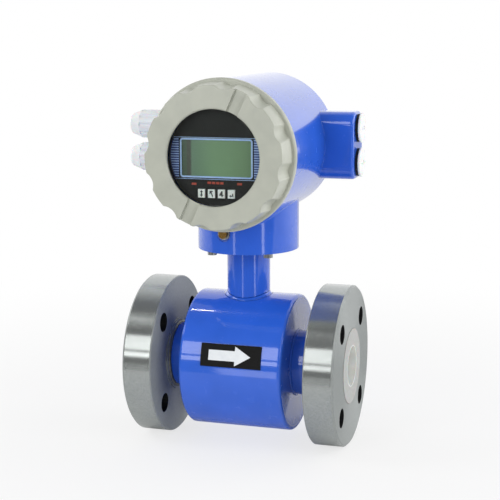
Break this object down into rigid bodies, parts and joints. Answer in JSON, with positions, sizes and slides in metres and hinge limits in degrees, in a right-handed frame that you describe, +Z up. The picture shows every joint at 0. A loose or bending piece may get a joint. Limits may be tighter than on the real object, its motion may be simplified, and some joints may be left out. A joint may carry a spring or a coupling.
{
  "type": "electromagnetic flow meter",
  "caption": "Flanged electromagnetic flow meter: lined bore between bolted flanges, drum-shaped sensor and a round converter head with display, screw covers and cable glands.",
  "frame": {"origin": "centre of the flow bore, midway between the flange faces", "axes": "+X is the direction of flow, the display looks towards -Y, +Z is up"},
  "size_m": [0.2329, 0.1856, 0.343],
  "materials": {
    "blue_paint": "gloss",
    "grey_paint": "satin",
    "turned_steel": "turned",
    "stainless": "brushed",
    "ptfe": "smooth",
    "nylon": "satin",
    "black_panel": "satin",
    "lcd": "smooth",
    "window": "clear",
    "key_plastic": "satin",
    "black_plate": "satin",
    "rubber": "matte",
    "brass": "turned",
    "zinc_steel": "plated",
    "circuit_board": "satin",
    "copper_coil": "wound",
    "soft_iron": "matt",
    "terminal_plastic": "satin",
    "lead_jacket": "satin",
    "white_print": "screen printed",
    "blue_print": "screen printed",
    "red_print": "screen printed"
  },
  "bodies": {
    "meter": {"measuring_tube": "stainless", "liner": "ptfe", "inlet_flange": "turned_steel", "outlet_flange": "turned_steel", "inlet_sleeve": "blue_paint", "outlet_sleeve": "blue_paint", "sensor_shell": "blue_paint", "inlet_end_plate": "blue_paint", "outlet_end_plate": "blue_paint", "upper_pole": "soft_iron", "lower_pole": "soft_iron", "upper_coil": "copper_coil", "lower_coil": "copper_coil", "yoke": "soft_iron", "electrodes": "stainless", "electrode_bushes": "ptfe", "electrode_nuts": "stainless", "flow_arrow_plate": "black_plate", "neck_weld": "blue_paint", "neck_tube": "blue_paint", "neck_plate": "blue_paint", "neck_gasket": "rubber", "neck_screws": "zinc_steel", "sensor_lead": "lead_jacket", "converter_housing": "blue_paint", "earth_washer": "zinc_steel", "earth_screw": "brass", "display_panel": "black_panel", "key_switches": "black_panel", "lcd_glass": "lcd", "lcd_frame": "zinc_steel", "display_board": "circuit_board", "main_board": "circuit_board", "power_board": "circuit_board", "panel_spacers": "stainless", "board_pillars": "stainless", "power_transformer": "soft_iron", "terminal_block": "terminal_plastic", "terminal_screws": "zinc_steel", "upper_gland_body": "nylon", "lower_gland_body": "nylon"},
    "front_seal": {"front_seal": "rubber"},
    "front_cover": {"front_cover": "grey_paint", "glass_gasket": "rubber", "window_glass": "window", "glass_ring": "zinc_steel"},
    "rear_seal": {"rear_seal": "rubber"},
    "rear_cover": {"rear_cover": "blue_paint"},
    "key_1": {"key_1": "key_plastic"},
    "key_2": {"key_2": "key_plastic"},
    "key_3": {"key_3": "key_plastic"},
    "key_4": {"key_4": "key_plastic"},
    "upper_gland_seal": {"upper_gland_seal": "rubber"},
    "upper_gland_nut": {"upper_gland_nut": "nylon"},
    "lower_gland_seal": {"lower_gland_seal": "rubber"},
    "lower_gland_nut": {"lower_gland_nut": "nylon"},
    "upper_plug_washer": {"upper_plug_washer": "rubber"},
    "upper_plug": {"upper_plug": "nylon"},
    "lower_plug_washer": {"lower_plug_washer": "rubber"},
    "lower_plug": {"lower_plug": "nylon"}
  },
  "joints": [
    {"name": "front_cover_travel", "type": "slide", "parent": "meter", "child": "front_seal", "axis": [0, -1, 0], "range_m": [0, 0.014]},
    {"name": "front_cover_turn", "type": "hinge", "parent": "front_seal", "child": "front_cover", "pos_m": [0, -0.08, 0.201], "axis": [0, -1, 0], "range_deg": [0, 2520]},
    {"name": "rear_cover_travel", "type": "slide", "parent": "meter", "child": "rear_seal", "axis": [0, 1, 0], "range_m": [0, 0.008]},
    {"name": "rear_cover_turn", "type": "hinge", "parent": "rear_seal", "child": "rear_cover", "pos_m": [0, 0.075, 0.201], "axis": [0, 1, 0], "range_deg": [0, 1440]},
    {"name": "upper_gland_nut_travel", "type": "slide", "parent": "meter", "child": "upper_gland_seal", "axis": [-1, 0, 0], "range_m": [0, 0.0135]},
    {"name": "upper_gland_nut_turn", "type": "hinge", "parent": "upper_gland_seal", "child": "upper_gland_nut", "pos_m": [-0.115, 0.0465, 0.217], "axis": [-1, 0, 0], "range_deg": [0, 3240]},
    {"name": "upper_plug_travel", "type": "slide", "parent": "meter", "child": "upper_plug_washer", "axis": [1, 0, 0], "range_m": [0, 0.0075]},
    {"name": "upper_plug_turn", "type": "hinge", "parent": "upper_plug_washer", "child": "upper_plug", "pos_m": [0.095, 0.0465, 0.217], "axis": [1, 0, 0], "range_deg": [0, 1800]},
    {"name": "lower_gland_nut_travel", "type": "slide", "parent": "meter", "child": "lower_gland_seal", "axis": [-1, 0, 0], "range_m": [0, 0.0135]},
    {"name": "lower_gland_nut_turn", "type": "hinge", "parent": "lower_gland_seal", "child": "lower_gland_nut", "pos_m": [-0.115, 0.0465, 0.185], "axis": [-1, 0, 0], "range_deg": [0, 3240]},
    {"name": "lower_plug_travel", "type": "slide", "parent": "meter", "child": "lower_plug_washer", "axis": [1, 0, 0], "range_m": [0, 0.0075]},
    {"name": "lower_plug_turn", "type": "hinge", "parent": "lower_plug_washer", "child": "lower_plug", "pos_m": [0.095, 0.0465, 0.185], "axis": [1, 0, 0], "range_deg": [0, 1800]},
    {"name": "key_1_press", "type": "slide", "parent": "meter", "child": "key_1", "axis": [0, 1, 0], "range_m": [0, 0.0005], "stiffness_N_per_m": 600, "springref_m": -0.0005},
    {"name": "key_2_press", "type": "slide", "parent": "meter", "child": "key_2", "axis": [0, 1, 0], "range_m": [0, 0.0005], "stiffness_N_per_m": 600, "springref_m": -0.0005},
    {"name": "key_3_press", "type": "slide", "parent": "meter", "child": "key_3", "axis": [0, 1, 0], "range_m": [0, 0.0005], "stiffness_N_per_m": 600, "springref_m": -0.0005},
    {"name": "key_4_press", "type": "slide", "parent": "meter", "child": "key_4", "axis": [0, 1, 0], "range_m": [0, 0.0005], "stiffness_N_per_m": 600, "springref_m": -0.0005}
  ],
  "couplings": [
    {"joint": "front_cover_travel", "follows": "front_cover_turn", "m_per_rad": 0.0003183},
    {"joint": "rear_cover_travel", "follows": "rear_cover_turn", "m_per_rad": 0.0003183},
    {"joint": "upper_gland_nut_travel", "follows": "upper_gland_nut_turn", "m_per_rad": 0.0002387},
    {"joint": "upper_plug_travel", "follows": "upper_plug_turn", "m_per_rad": 0.0002387},
    {"joint": "lower_gland_nut_travel", "follows": "lower_gland_nut_turn", "m_per_rad": 0.0002387},
    {"joint": "lower_plug_travel", "follows": "lower_plug_turn", "m_per_rad": 0.0002387}
  ]
}
